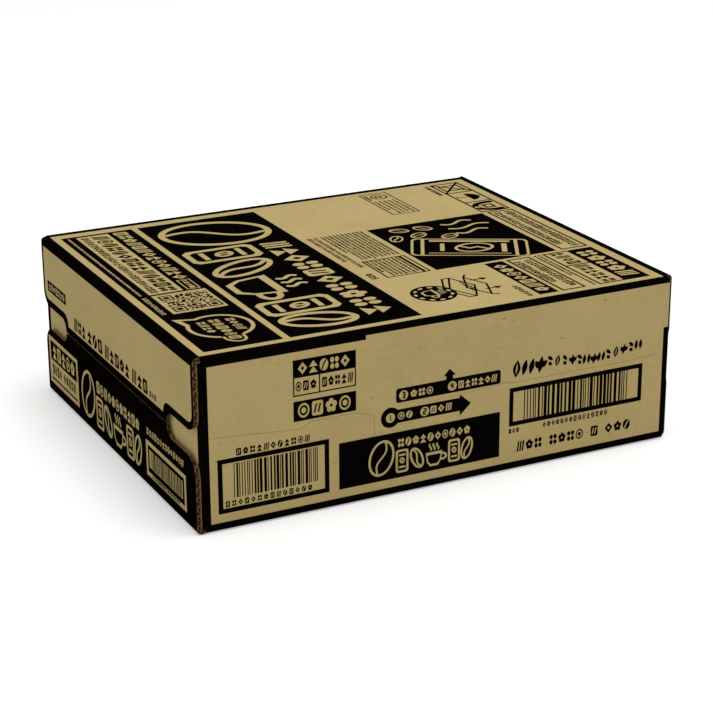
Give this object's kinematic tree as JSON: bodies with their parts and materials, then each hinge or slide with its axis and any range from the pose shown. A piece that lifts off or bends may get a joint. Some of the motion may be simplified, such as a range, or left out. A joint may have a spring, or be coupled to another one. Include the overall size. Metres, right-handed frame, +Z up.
{
  "type": "case of canned coffee",
  "caption": "Shut wrap-around corrugated case full of slim coffee cans: flat oblong box with overlapping end flaps, thumb notches and a tear-open line.",
  "frame": {"origin": "middle of the case's underside", "axes": "+X along the case's length, +Y across it to the back panel, +Z up through the lid panel"},
  "size_m": [0.33, 0.272, 0.11],
  "materials": {
    "kraft_board": "plain brown corrugated board with one-colour black print"
  },
  "bodies": {
    "root": {"can_case": "kraft_board"}
  },
  "joints": []
}
